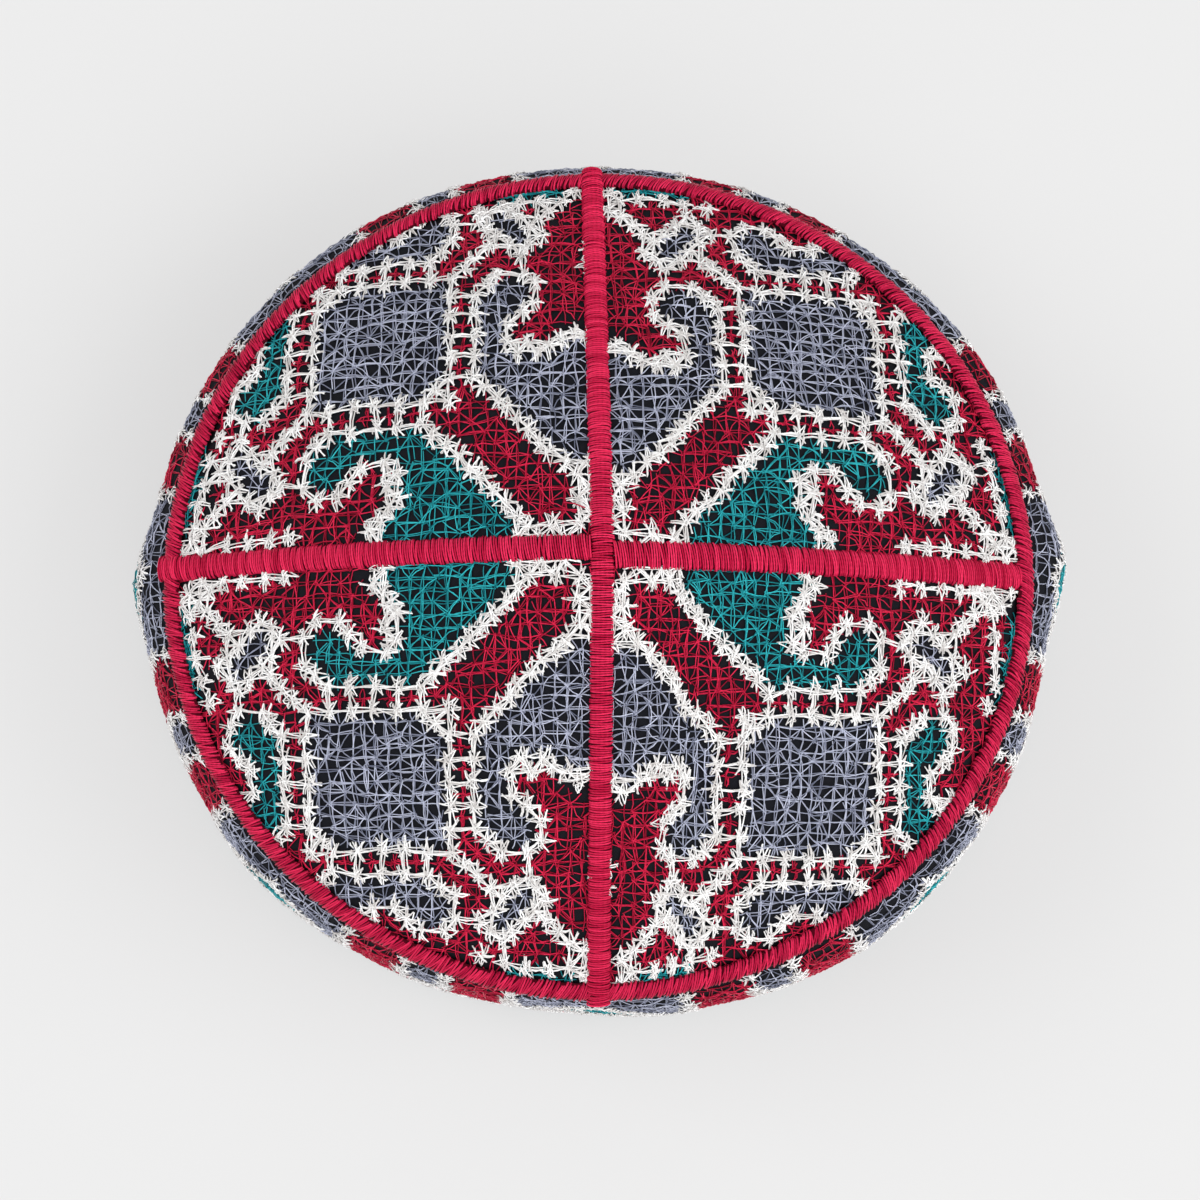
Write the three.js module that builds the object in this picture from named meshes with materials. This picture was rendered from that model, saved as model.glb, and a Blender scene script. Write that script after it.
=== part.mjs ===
// Embroidered Afghan cap: four crown panels, a cross of raised satin seams,
// a satin roll round the crown's edge and a stiff side band.
// Millimetres, +Z up, +Y toward the back of the cap. The cap stands on the
// floor at height 0, over the origin by the middle of its box.

import * as THREE from "three";
import { mergeVertices } from "three/addons/utils/BufferGeometryUtils.js";

// Crown
const crownHalfWidth = 84.4;
const crownHalfDepth = 81.6;
const crownRise = 29;
const panelPuff = 1.0;

// Side band
const bandHeight = 58.5;
const hemHalfWidth = 96.5;
const hemHalfDepth = 85.5;
const bandBulge = 3.3;
const bandLeanBack = 1.2;
const creaseReach = 3.6;
const creaseHalfAngle = 12;

// Cloth and thread
const clothWall = 1.7;
const pieceGap = 0.4;
const seamWidth = 4.8;
const seamThickness = 1.3;
const rollWidth = 4.6;
const rollThickness = 2.6;

// Colours of the thread and the ground cloth
const redThread = 0xb3122b;
const groundCloth = 0x1d1c28;
const blueGreyThread = 0x7d8399;

// How fine the facets are
const panelColumns = 14;
const panelRows = 16;
const seamStations = 22;
const seamFacets = 7;
const loopColumns = 96;
const rollFacets = 8;

// Where each seam meets the crown's edge, in degrees from +X, and how far
// it starts to the back of the crossing, as a share of the seam's width
const SEAMS = {
  right: { edgeAngle: -0.6, stagger: -0.15 },
  back: { edgeAngle: 91.2, stagger: 0 },
  left: { edgeAngle: 179.4, stagger: 0.15 },
  front: { edgeAngle: 270.6, stagger: 0 },
};

// Where the seams cross, as shares of the crown's half width and half depth
const CROSSING = { right: 0.0095, back: -0.016 };

// The crown's profile: share of the rise lost straight and in a curve, and
// the share of the radius over which its middle is rounded
const PROFILE = { straight: 0.5, curved: 0.5, rounding: 0.04 };

// The side band from its top to its hem: share of the way down, then the
// share of the bulge, of the lean to the back and of the creases there
const BAND_ROWS = [
  { down: 0.0, bulge: 0.0, lean: 0.0, crease: 0.0 },
  { down: 0.03, bulge: 0.5, lean: 0.4, crease: 0.25 },
  { down: 0.1, bulge: 0.9, lean: 0.85, crease: 0.7 },
  { down: 0.22, bulge: 1.0, lean: 1.0, crease: 0.95 },
  { down: 0.38, bulge: 1.0, lean: 1.0, crease: 1.0 },
  { down: 0.56, bulge: 0.8, lean: 0.8, crease: 0.95 },
  { down: 0.78, bulge: 0.4, lean: 0.4, crease: 0.85 },
  { down: 1.0, bulge: 0.0, lean: 0.0, crease: 0.75 },
];

// Where the folded cap's two creases stand out of the band
const CREASE_ANGLES = [3, 180];

// How far the band swells out or falls in round the cap, as a share of its
// bulge, at angles in degrees from +X
const BAND_SWELL = [
  { angle: 0, outward: 0.25 },
  { angle: 30, outward: 0.5 },
  { angle: 55, outward: 0.2 },
  { angle: 90, outward: 0.05 },
  { angle: 125, outward: 0.4 },
  { angle: 160, outward: 0.22 },
  { angle: 180, outward: 0.05 },
  { angle: 192, outward: 0.22 },
  { angle: 208, outward: 0.08 },
  { angle: 222, outward: 0.35 },
  { angle: 242, outward: 0.05 },
  { angle: 265, outward: -0.28 },
  { angle: 280, outward: 0.2 },
  { angle: 305, outward: 0.68 },
  { angle: 330, outward: 0.35 },
  { angle: 350, outward: 0.1 },
];

const toRadians = THREE.MathUtils.degToRad;
const lerp = THREE.MathUtils.lerp;
const crossing = new THREE.Vector2(CROSSING.right * crownHalfWidth, CROSSING.back * crownHalfDepth);

function onEllipse(angle, halfWidth, halfDepth) {
  return new THREE.Vector2(halfWidth * Math.cos(angle), halfDepth * Math.sin(angle));
}

// How far a plan point lies from the crossing to the crown's edge, 0 to 1
function shareToEdge(point) {
  const ray = point.clone().sub(crossing);
  const a = (ray.x / crownHalfWidth) ** 2 + (ray.y / crownHalfDepth) ** 2;
  if (a === 0) return 0;
  const b = (crossing.x * ray.x) / crownHalfWidth ** 2 + (crossing.y * ray.y) / crownHalfDepth ** 2;
  const c = (crossing.x / crownHalfWidth) ** 2 + (crossing.y / crownHalfDepth) ** 2 - 1;
  return a / (Math.sqrt(b * b - a * c) - b);
}

// The same share with the crown's middle rounded off
function roundedShare(share) {
  const { rounding } = PROFILE;
  return (Math.hypot(share, rounding) - rounding) / (Math.hypot(1, rounding) - rounding);
}

// Height of the crown's outer face over the floor at a share of the way out
function crownHeight(share) {
  const { straight, curved } = PROFILE;
  const rounded = roundedShare(share);
  return bandHeight + crownRise * (1 - straight * rounded - curved * rounded * rounded);
}

// Slope of that profile, in height per share of the way out
function crownSlope(share) {
  const step = 1e-4;
  return (crownHeight(share + step) - crownHeight(share)) / step;
}

// A plan point lifted onto the crown, or above it along the outward normal
function onCrown(point, above = 0, puff = 0) {
  const share = shareToEdge(point);
  const ray = point.clone().sub(crossing);
  const length = ray.length();
  const place = new THREE.Vector3(point.x, point.y, crownHeight(share) + puff);
  if (length === 0) return place.setZ(place.z + above);
  const slope = (crownSlope(share) * share) / length;
  const normal = new THREE.Vector3((-slope * ray.x) / length, (-slope * ray.y) / length, 1).normalize();
  return place.addScaledVector(normal, above);
}

// One closed body from a row of sections with the same number of points.
// A ring of sections closes on itself, a run of them gets an end at each side.
function skin(sections, closesOnItself) {
  const count = sections[0].length;
  const positions = sections.flat().flatMap((point) => [point.x, point.y, point.z]);
  const index = [];
  const quad = (a, b, c, d) => index.push(a, b, c, a, c, d);
  const last = sections.length - 1;
  for (let i = 0; i < (closesOnItself ? last + 1 : last); i += 1) {
    const here = i * count;
    const next = ((i + 1) % sections.length) * count;
    for (let k = 0; k < count; k += 1) {
      const up = (k + 1) % count;
      quad(here + k, next + k, next + up, here + up);
    }
  }
  if (!closesOnItself) {
    for (let k = 0; k < Math.floor((count - 1) / 2); k += 1) {
      const across = count - 1 - k;
      quad(k, k + 1, across - 1, across);
      quad(last * count + across, last * count + across - 1, last * count + k + 1, last * count + k);
    }
  }
  const loose = new THREE.BufferGeometry();
  loose.setAttribute("position", new THREE.Float32BufferAttribute(positions, 3));
  loose.setIndex(index);
  const merged = mergeVertices(loose, 1e-4);
  const corners = Array.from(merged.index.array);
  const faces = [];
  for (let f = 0; f < corners.length; f += 3) {
    const [a, b, c] = corners.slice(f, f + 3);
    if (a !== b && b !== c && c !== a) faces.push(a, b, c);
  }
  merged.setIndex(faces);
  merged.computeVertexNormals();
  return merged;
}

function piece(name, geometry, color, roughness) {
  const material = new THREE.MeshStandardMaterial({ color, roughness, metalness: 0 });
  const mesh = new THREE.Mesh(geometry, material);
  mesh.name = name;
  return mesh;
}

// A quarter of the crown between two seams, as a shell one wall thick
function crownPanel(name, first, second) {
  const half = pieceGap / 2;
  const middle = toRadians((first.edgeAngle + second.edgeAngle) / 2);
  const sideways = Math.sign(Math.cos(middle));
  const backward = Math.sign(Math.sin(middle));
  const stagger = (first.stagger + second.stagger) * seamWidth;
  const corner = crossing.clone().add(new THREE.Vector2(sideways * half, stagger + backward * half));
  const start = toRadians(first.edgeAngle) + half / crownHalfDepth;
  const end = toRadians(second.edgeAngle) - half / crownHalfDepth;
  const sections = [];
  for (let i = 0; i <= panelColumns; i += 1) {
    const round = i / panelColumns;
    const rim = onEllipse(lerp(start, end, round), crownHalfWidth, crownHalfDepth);
    const outer = [];
    const inner = [];
    for (let k = 0; k <= panelRows; k += 1) {
      const out = k / panelRows;
      const point = corner.clone().lerp(rim, out);
      const puff = panelPuff * Math.sin(Math.PI * round) ** 2 * Math.sin(Math.PI * out) ** 2;
      outer.push(onCrown(point, 0, puff));
      inner.push(onCrown(point, -clothWall, puff));
    }
    sections.push([...inner, ...outer.reverse()]);
  }
  return piece(name, skin(sections, false), groundCloth, 0.9);
}

// The satin roll sits over the crown's edge. Its section is an oval that
// lies along the crown's slope there, a gap above the edge.
const edgeSlope = Math.atan(-crownSlope(1) / crownHalfWidth);
const rollReach = rollWidth * 0.2;
const rollPastEdge = rollWidth / 2 - rollReach;
const rollOverEdge = (rollThickness / 2) * Math.sqrt(1 - (rollPastEdge / (rollWidth / 2)) ** 2);
const rollAbove = pieceGap + rollOverEdge;
const rollOut = rollPastEdge * Math.cos(edgeSlope) + rollAbove * Math.sin(edgeSlope);
const rollUp = rollAbove * Math.cos(edgeSlope) - rollPastEdge * Math.sin(edgeSlope);
const rollDrop = Math.hypot((rollWidth / 2) * Math.sin(edgeSlope), (rollThickness / 2) * Math.cos(edgeSlope));

function edgeRoll() {
  const sections = [];
  for (let i = 0; i < loopColumns; i += 1) {
    const angle = (i / loopColumns) * 2 * Math.PI;
    const section = [];
    for (let k = 0; k < rollFacets; k += 1) {
      const turn = (k / rollFacets) * 2 * Math.PI;
      const along = (rollWidth / 2) * Math.cos(turn);
      const over = (rollThickness / 2) * Math.sin(turn);
      const out = rollOut + along * Math.cos(edgeSlope) + over * Math.sin(edgeSlope);
      const up = rollUp - along * Math.sin(edgeSlope) + over * Math.cos(edgeSlope);
      const point = onEllipse(angle, crownHalfWidth + out, crownHalfDepth + out);
      section.push(new THREE.Vector3(point.x, point.y, bandHeight + up));
    }
    sections.push(section);
  }
  return piece("crown_edge_ring", skin(sections, true), redThread, 0.55);
}

// A raised satin bar along the crown through a list of plan points
function satinBar(name, stops) {
  const path = new THREE.CurvePath();
  for (let i = 0; i + 1 < stops.length; i += 1) path.add(new THREE.LineCurve(stops[i], stops[i + 1]));
  const stations = seamStations * (stops.length - 1);
  const sections = [];
  for (let i = 0; i <= stations; i += 1) {
    const middle = path.getPointAt(i / stations);
    const ahead = path.getTangentAt(i / stations);
    const sideways = new THREE.Vector2(-ahead.y, ahead.x);
    const section = [];
    for (let k = 0; k < seamFacets; k += 1) {
      const turn = (k / (seamFacets - 1)) * Math.PI;
      const across = (-seamWidth / 2) * Math.cos(turn);
      const above = pieceGap + seamThickness * Math.sin(turn);
      section.push(onCrown(middle.clone().addScaledVector(sideways, across), above));
    }
    sections.push(section);
  }
  return piece(name, skin(sections, false), redThread, 0.5);
}

// Where a seam's bar ends, a gap short of the roll
function barEnd(seam) {
  const inset = rollReach + pieceGap;
  return onEllipse(toRadians(seam.edgeAngle), crownHalfWidth - inset, crownHalfDepth - inset);
}

// Where a side seam's bar starts, a gap beside the bar that crosses it
function barStart(seam) {
  const sideways = Math.sign(Math.cos(toRadians(seam.edgeAngle)));
  const beside = sideways * (seamWidth / 2 + pieceGap);
  return crossing.clone().add(new THREE.Vector2(beside, seam.stagger * seamWidth));
}

function creaseAt(degrees) {
  return CREASE_ANGLES.reduce((most, angle) => {
    const away = Math.abs(((degrees - angle + 540) % 360) - 180);
    return Math.max(most, Math.max(0, 1 - away / creaseHalfAngle) ** 1.4);
  }, 0);
}

function swellAt(degrees) {
  const turned = ((degrees % 360) + 360) % 360;
  const next = BAND_SWELL.findIndex((row) => row.angle > turned);
  const high = BAND_SWELL[Math.max(next, 0)];
  const low = BAND_SWELL.at(next > 0 ? next - 1 : -1);
  const span = (high.angle - low.angle + 360) % 360;
  const share = THREE.MathUtils.smoothstep((turned - low.angle) / span, 0, 1);
  return lerp(low.outward, high.outward, share);
}

function sideBand() {
  const topOut = pieceGap + clothWall;
  const topHeight = bandHeight + rollUp - rollDrop - pieceGap;
  const sections = [];
  for (let i = 0; i < loopColumns; i += 1) {
    const angle = toRadians(CREASE_ANGLES[0]) + (i / loopColumns) * 2 * Math.PI;
    const degrees = THREE.MathUtils.radToDeg(angle);
    const outer = [];
    const inner = [];
    for (const row of BAND_ROWS) {
      const out = bandBulge * row.bulge * (1 + swellAt(degrees)) + creaseReach * row.crease * creaseAt(degrees);
      const halfWidth = lerp(crownHalfWidth + topOut, hemHalfWidth, row.down);
      const halfDepth = lerp(crownHalfDepth + topOut, hemHalfDepth, row.down);
      const height = topHeight * (1 - row.down);
      const lean = bandLeanBack * row.lean;
      const outside = onEllipse(angle, halfWidth, halfDepth);
      const outward = new THREE.Vector2(Math.cos(angle), Math.sin(angle));
      outside.addScaledVector(outward, out);
      const inside = outside.clone().addScaledVector(outward, -clothWall);
      outer.push(new THREE.Vector3(outside.x, outside.y + lean, height));
      inner.push(new THREE.Vector3(inside.x, inside.y + lean, height));
    }
    sections.push([...outer.reverse(), ...inner]);
  }
  return piece("side_band", skin(sections, true), blueGreyThread, 0.85);
}

const cap = new THREE.Group();
cap.add(crownPanel("crown_panel_back_right", SEAMS.right, SEAMS.back));
cap.add(crownPanel("crown_panel_back_left", SEAMS.back, SEAMS.left));
cap.add(crownPanel("crown_panel_front_left", SEAMS.left, SEAMS.front));
const rightAgain = { ...SEAMS.right, edgeAngle: SEAMS.right.edgeAngle + 360 };
cap.add(crownPanel("crown_panel_front_right", SEAMS.front, rightAgain));
cap.add(satinBar("crown_seam_front_back", [barEnd(SEAMS.back), crossing, barEnd(SEAMS.front)]));
cap.add(satinBar("crown_seam_left", [barStart(SEAMS.left), barEnd(SEAMS.left)]));
cap.add(satinBar("crown_seam_right", [barStart(SEAMS.right), barEnd(SEAMS.right)]));
cap.add(edgeRoll());
cap.add(sideBand());

// Stands the cap over the origin by the middle of its box
const middle = new THREE.Box3().setFromObject(cap).getCenter(new THREE.Vector3());
cap.position.set(-middle.x, -middle.y, 0);

export default cap;
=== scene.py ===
# Embroidered Afghan cap: a near-black cloth crown in four quarters and a side band, both
# worked in star stitch, with a cross of red satin seams and a red satin edge.
# Lengths in the tables are millimetres and angles are degrees unless a comment says so.
import math

import bpy
import numpy as np
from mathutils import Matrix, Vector


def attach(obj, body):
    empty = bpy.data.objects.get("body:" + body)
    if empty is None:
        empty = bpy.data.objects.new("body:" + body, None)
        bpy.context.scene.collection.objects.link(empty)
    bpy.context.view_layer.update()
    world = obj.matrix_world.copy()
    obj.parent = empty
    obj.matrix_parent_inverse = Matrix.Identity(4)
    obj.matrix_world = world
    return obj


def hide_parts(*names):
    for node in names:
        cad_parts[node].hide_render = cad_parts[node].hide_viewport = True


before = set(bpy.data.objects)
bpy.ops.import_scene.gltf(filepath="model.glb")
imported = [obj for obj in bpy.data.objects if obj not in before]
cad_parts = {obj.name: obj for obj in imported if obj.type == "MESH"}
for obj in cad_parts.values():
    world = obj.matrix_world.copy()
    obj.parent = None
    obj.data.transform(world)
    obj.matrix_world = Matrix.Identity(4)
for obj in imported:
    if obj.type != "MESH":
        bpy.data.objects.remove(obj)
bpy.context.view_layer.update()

MM = 0.001

# The cap, as its frame was built
CAP_MIDDLE = np.array([-0.053, -1.350, 0.0])
CROWN_HALF_WIDTH = 84.4
CROWN_HALF_DEPTH = 81.6
CROWN_RISE = 29.0
PANEL_PUFF = 1.0
BAND_HEIGHT = 58.5
HEM_HALF_WIDTH = 96.5
HEM_HALF_DEPTH = 85.5
BAND_BULGE = 3.3
BAND_LEAN_BACK = 1.2
CREASE_REACH = 3.6
CREASE_HALF_ANGLE = 12
CREASE_ANGLES = (3, 180)
CLOTH_WALL = 1.7
PIECE_GAP = 0.4
SEAM_WIDTH = 4.8
ROLL_WIDTH = 4.6
ROLL_THICKNESS = 2.6
CROSSING = np.array([0.0095 * CROWN_HALF_WIDTH, -0.016 * CROWN_HALF_DEPTH])
STAGGER = 0.15 * SEAM_WIDTH
PROFILE_ROUNDING = 0.04

# The side band from its top down: share of the way down, bulge, lean and crease
BAND_DOWN = [0.0, 0.03, 0.1, 0.22, 0.38, 0.56, 0.78, 1.0]
BAND_BULGES = [0.0, 0.5, 0.9, 1.0, 1.0, 0.8, 0.4, 0.0]
BAND_LEANS = [0.0, 0.4, 0.85, 1.0, 1.0, 0.8, 0.4, 0.0]
BAND_CREASES = [0.0, 0.25, 0.7, 0.95, 1.0, 0.95, 0.85, 0.75]

# How far the band swells at angles round the cap, as a share of its bulge
SWELL_ANGLES = [0, 30, 55, 90, 125, 160, 180, 192, 208, 222, 242, 265, 280, 305, 330, 350]
SWELLS = [0.25, 0.5, 0.2, 0.05, 0.4, 0.22, 0.05, 0.22, 0.08, 0.35, 0.05, -0.28, 0.2, 0.68, 0.35, 0.1]

# Thread and embroidery: the unit of the stitch chart, the angle that a quarter's chart
# fills, and how thick the threads are and how close the satin's lie
STITCH_UNIT = 2.42
WEDGE = 89.0
FILL_THREAD = 0.25
BORDER_THREAD = 0.32
SATIN_THREAD = 0.42
SATIN_PITCH = 0.46


def table(columns, rows):
    """Rows by name, each with its values by column."""
    return {name: dict(zip(columns, values)) for name, values in rows.items()}


# Each quarter: the angles of its side seam and its front or back seam, the side that its
# side seam is staggered to, how its stitching is stretched and shifted on the cloth, and
# where the row of white stars along its side seam starts, in stitch units
QUARTERS = table(
    ("side", "upright", "lean", "stretch", "shift", "row"),
    {
        "back_right": (-0.6, 91.2, -1, (0.9875, 0.994), (-0.36, -0.43), (26.2, 2.2)),
        "back_left": (179.4, 91.2, 1, (1.044, 1.05), (-0.88, -0.15), (26.0, 2.2)),
        "front_left": (179.4, 270.6, 1, (1.019, 0.947), (-0.8, 0.23), (26.9, 1.3)),
        "front_right": (-0.6, -89.4, -1, (0.972, 0.969), (-1.34, 0.14), (27.0, 2.0)),
    },
)

# Near its corner a quarter's stitching has one shift along the side seam, and farther
# out its own: how much, and where it goes over, in stitch units
CORNER_SHIFT = -0.2
CORNER_END = 4
OWN_SHIFT_START = 10

# Surface lengths are worked out for two crowns of these half widths and mixed, as far as
# this share of the way to the edge
LESSER_CROWN = 78.0
GREATER_CROWN = 90.0
FURTHEST_SHARE = 1.08

# Colours of the stitches' threads, each from deep to bright. Their mix strand by strand is partly the
# threads' own uneven tone, partly painted shade and painted highlight on the strands
THREADS = {
    "red": {"deep": "#6c061c", "bright": "#de2c50"},
    "white": {"deep": "#c4bebb", "bright": "#ffffff"},
    "blue_grey": {"deep": "#42485e", "bright": "#c6cade"},
    "teal": {"deep": "#024652", "bright": "#38b8c0"},
}


def linear(hex_colour):
    """An sRGB hex colour as linear RGBA."""
    parts = [int(hex_colour[i : i + 2], 16) / 255 for i in (1, 3, 5)]
    return tuple(((c + 0.055) / 1.055) ** 2.4 if c > 0.04045 else c / 12.92 for c in parts) + (1.0,)


# The cap's surfaces


def on_ellipse(angle, half_width, half_depth):
    return np.stack([half_width * np.cos(angle), half_depth * np.sin(angle)], axis=-1)


def reach_to_edge(start, direction, half_width=CROWN_HALF_WIDTH, half_depth=CROWN_HALF_DEPTH):
    """How many times a plan direction goes from a start to the crown's edge."""
    size = np.array([half_width, half_depth])
    d = direction / size
    s = start / size
    a = np.sum(d * d, axis=-1)
    b = np.sum(d * s, axis=-1)
    c = np.sum(s * s, axis=-1) - 1
    return (np.sqrt(b * b - a * c) - b) / np.maximum(a, 1e-12)


def crown_height(share):
    """Height of the crown over the floor at a share of the way from crossing to edge."""
    r = PROFILE_ROUNDING
    rounded = (np.hypot(share, r) - r) / (math.hypot(1, r) - r)
    return BAND_HEIGHT + CROWN_RISE * (1 - 0.5 * rounded - 0.5 * rounded * rounded)


def share_out(plan):
    """The share of the way from crossing to edge at plan points."""
    ray = plan - CROSSING
    share = 1 / np.maximum(reach_to_edge(CROSSING, ray), 1e-6)
    return np.where(np.hypot(ray[..., 0], ray[..., 1]) < 1e-6, 0, share)


def panel_corner(quarter):
    row = QUARTERS[quarter]
    sideways = -1 if "left" in quarter else 1
    backward = 1 if "back" in quarter else -1
    half = PIECE_GAP / 2
    return CROSSING + np.array([sideways * half, row["lean"] * STAGGER + backward * half])


def crown_lift(quarter, plan):
    """Height of a quarter's outer face over plan points, with the quarter's puff."""
    row = QUARTERS[quarter]
    corner = panel_corner(quarter)
    way = plan - corner
    reach = reach_to_edge(corner, way)
    out = np.clip(1 / np.maximum(reach, 1e-6), 0, 1)
    rim = corner + way * reach[..., None]
    middle = math.radians((row["side"] + row["upright"]) / 2)
    angle = np.arctan2(rim[..., 1] / CROWN_HALF_DEPTH, rim[..., 0] / CROWN_HALF_WIDTH)
    angle = middle + (angle - middle + np.pi) % (2 * np.pi) - np.pi
    side, upright = math.radians(row["side"]), math.radians(row["upright"])
    turned = np.clip((angle - side) / (upright - side), 0, 1)
    puff = PANEL_PUFF * np.sin(np.pi * turned) ** 2 * np.sin(np.pi * out) ** 2
    return crown_height(share_out(plan)) + puff


def on_crown(quarter, plan):
    return np.concatenate([plan, crown_lift(quarter, plan)[..., None]], axis=-1)


def crown_up(quarter, plan):
    """Outward normals of a quarter over plan points."""
    step = 0.05
    x, y = np.array([step, 0.0]), np.array([0.0, step])
    across = (crown_lift(quarter, plan + x) - crown_lift(quarter, plan - x)) / (2 * step)
    along = (crown_lift(quarter, plan + y) - crown_lift(quarter, plan - y)) / (2 * step)
    normal = np.stack([-across, -along, np.ones_like(across)], axis=-1)
    return normal / np.linalg.norm(normal, axis=-1, keepdims=True)


def smooth(value, low, high):
    t = np.clip((value - low) / (high - low), 0, 1)
    return t * t * (3 - 2 * t)


def seam_azimuth(quarter, which):
    """Direction from a quarter's corner of the stitching to a seam's end, in degrees."""
    row = QUARTERS[quarter]
    end = on_ellipse(math.radians(row[which]), CROWN_HALF_WIDTH, CROWN_HALF_DEPTH)
    way = end - CROSSING - np.array([0.0, row["lean"] * STAGGER])
    angle = math.degrees(math.atan2(way[1], way[0]))
    return row[which] + (angle - row[which] + 180) % 360 - 180


def stitch_plan(quarter, chart):
    """Plan points of chart points, and their shares of the way out. A chart point counts
    along the side seam, then along the front or back seam, and distances are kept along
    the cloth, from the crossing out."""
    row = QUARTERS[quarter]
    a, b = chart[..., 0], chart[..., 1]
    shift = CORNER_SHIFT + (row["shift"][0] - CORNER_SHIFT) * smooth(a, CORNER_END, OWN_SHIFT_START)
    u = (row["stretch"][0] * a + shift) * STITCH_UNIT
    v = (row["stretch"][1] * b + row["shift"][1]) * STITCH_UNIT
    far = np.hypot(u, v)
    share_round = np.clip((np.degrees(np.arctan2(v, u)) - (90 - WEDGE) / 2) / WEDGE, 0, 1)
    start, end = seam_azimuth(quarter, "side"), seam_azimuth(quarter, "upright")
    azimuth = np.radians(start + (end - start) * share_round)
    direction = np.stack([np.cos(azimuth), np.sin(azimuth)], axis=-1)
    reach = reach_to_edge(CROSSING, direction)
    shares = np.linspace(0, FURTHEST_SHARE, 400)
    steps = np.diff(shares)
    drops = np.diff(crown_height(shares))
    out = np.zeros_like(far)
    span = GREATER_CROWN - LESSER_CROWN
    lesser, greater = (GREATER_CROWN - reach) / span, (reach - LESSER_CROWN) / span
    for size, weight in ((LESSER_CROWN, lesser), (GREATER_CROWN, greater)):
        run = np.concatenate([[0], np.cumsum(np.hypot(steps * size, drops))])
        out += weight * np.interp(far, run, shares)
    stagger = row["lean"] * STAGGER * (1 - out)
    plan = CROSSING + direction * (out * reach)[..., None]
    plan[..., 1] += stagger
    return plan, out


def band_swell(degrees):
    turned = np.mod(degrees, 360)
    angles = np.array(SWELL_ANGLES + [360])
    swells = np.array(SWELLS + [SWELLS[0]])
    at = np.clip(np.searchsorted(angles, turned, side="right") - 1, 0, len(angles) - 2)
    share = smooth(turned, angles[at], angles[at + 1])
    return swells[at] + (swells[at + 1] - swells[at]) * share


def band_crease(degrees):
    most = np.zeros_like(degrees)
    for angle in CREASE_ANGLES:
        away = np.abs(np.mod(degrees - angle + 540, 360) - 180)
        most = np.maximum(most, np.maximum(0, 1 - away / CREASE_HALF_ANGLE) ** 1.4)
    return most


def eased(down, values):
    """A band column's values at shares of the way down, with its corners eased."""
    spread = np.array([-0.024, -0.012, 0.0, 0.012, 0.024])
    return np.mean([np.interp(np.clip(down + s, 0, 1), BAND_DOWN, values) for s in spread], axis=0)


# The satin roll over the crown's edge, from the slope of the crown there
EDGE_SLOPE = math.atan((crown_height(1.0) - crown_height(1.0001)) / 0.0001 / CROWN_HALF_WIDTH)
ROLL_REACH = ROLL_WIDTH * 0.2
ROLL_PAST_EDGE = ROLL_WIDTH / 2 - ROLL_REACH
ROLL_ABOVE = PIECE_GAP + ROLL_THICKNESS / 2 * math.sqrt(1 - (ROLL_PAST_EDGE / (ROLL_WIDTH / 2)) ** 2)
ROLL_OUT = ROLL_PAST_EDGE * math.cos(EDGE_SLOPE) + ROLL_ABOVE * math.sin(EDGE_SLOPE)
ROLL_UP = ROLL_ABOVE * math.cos(EDGE_SLOPE) - ROLL_PAST_EDGE * math.sin(EDGE_SLOPE)
ROLL_DROP = math.hypot(ROLL_WIDTH / 2 * math.sin(EDGE_SLOPE), ROLL_THICKNESS / 2 * math.cos(EDGE_SLOPE))
BAND_TOP = BAND_HEIGHT + ROLL_UP - ROLL_DROP - PIECE_GAP


def on_band(degrees, down):
    """Points of the band's outer face at angles and shares of the way down."""
    angle = np.radians(degrees)
    out = BAND_BULGE * eased(down, BAND_BULGES) * (1 + band_swell(degrees))
    out = out + CREASE_REACH * eased(down, BAND_CREASES) * band_crease(degrees)
    top_out = PIECE_GAP + CLOTH_WALL
    half_width = CROWN_HALF_WIDTH + top_out + (HEM_HALF_WIDTH - CROWN_HALF_WIDTH - top_out) * down
    half_depth = CROWN_HALF_DEPTH + top_out + (HEM_HALF_DEPTH - CROWN_HALF_DEPTH - top_out) * down
    x = (half_width + out) * np.cos(angle)
    y = (half_depth + out) * np.sin(angle) + BAND_LEAN_BACK * eased(down, BAND_LEANS)
    z = BAND_TOP * (1 - down)
    return np.stack([x, y, z], axis=-1)


# The stitch chart of a quarter, in stitch units. It is drawn on the side seam's half
# (b below a) and mirrored, with teal and blue-grey changing places.
BORDER_RUNS = [
    # the white corner at the crossing and the long diagonal beside the red bar
    [(2, 2), (2, 2)],
    [(3, 1), (7, 1)],
    [(4, 2), (4, 2)],
    [(6, 2), (15, 11)],
    # the square and its inner corner
    [(13, 13), (25, 13)],
    [(25, 13), (25, 25)],
    [(13, 13), (14, 14)],
    [(24, 24), (24, 24)],
    # the channels along the square
    [(15, 11), (23, 11)],
    [(27, 15), (27, 23)],
    # the horn
    [(19, 1), (20, 2), (17, 5), (18, 6), (17, 7), (18, 8), (20, 8), (22, 6), (24, 6), (25, 7), (27, 7)],
    [(25, 9), (23, 11)],
    # the diamond and the bands that meet it
    [(29, 5), (33, 9), (31, 11), (27, 7), (29, 5)],
    [(28, 10), (25, 13)],
    [(31, 11), (31, 13)],
    # the curl by the edge
    [(27, 15), (29, 13), (31, 13), (32, 14), (32, 16), (30, 18), (30, 20), (31, 21), (32, 20)],
    [(27, 23), (29, 25)],
]
HORN = [
    (4, 0), (18.6, 0), (18.4, 3), (17, 4.4), (16, 5), (16.6, 7), (17, 8.4), (20, 8.6),
    (21.5, 8.4), (22.4, 7.2), (23.5, 6.7), (24.6, 7.5), (24.6, 8.4), (23.2, 9.2),
    (22.5, 10.6), (14.6, 10.6),
]
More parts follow.
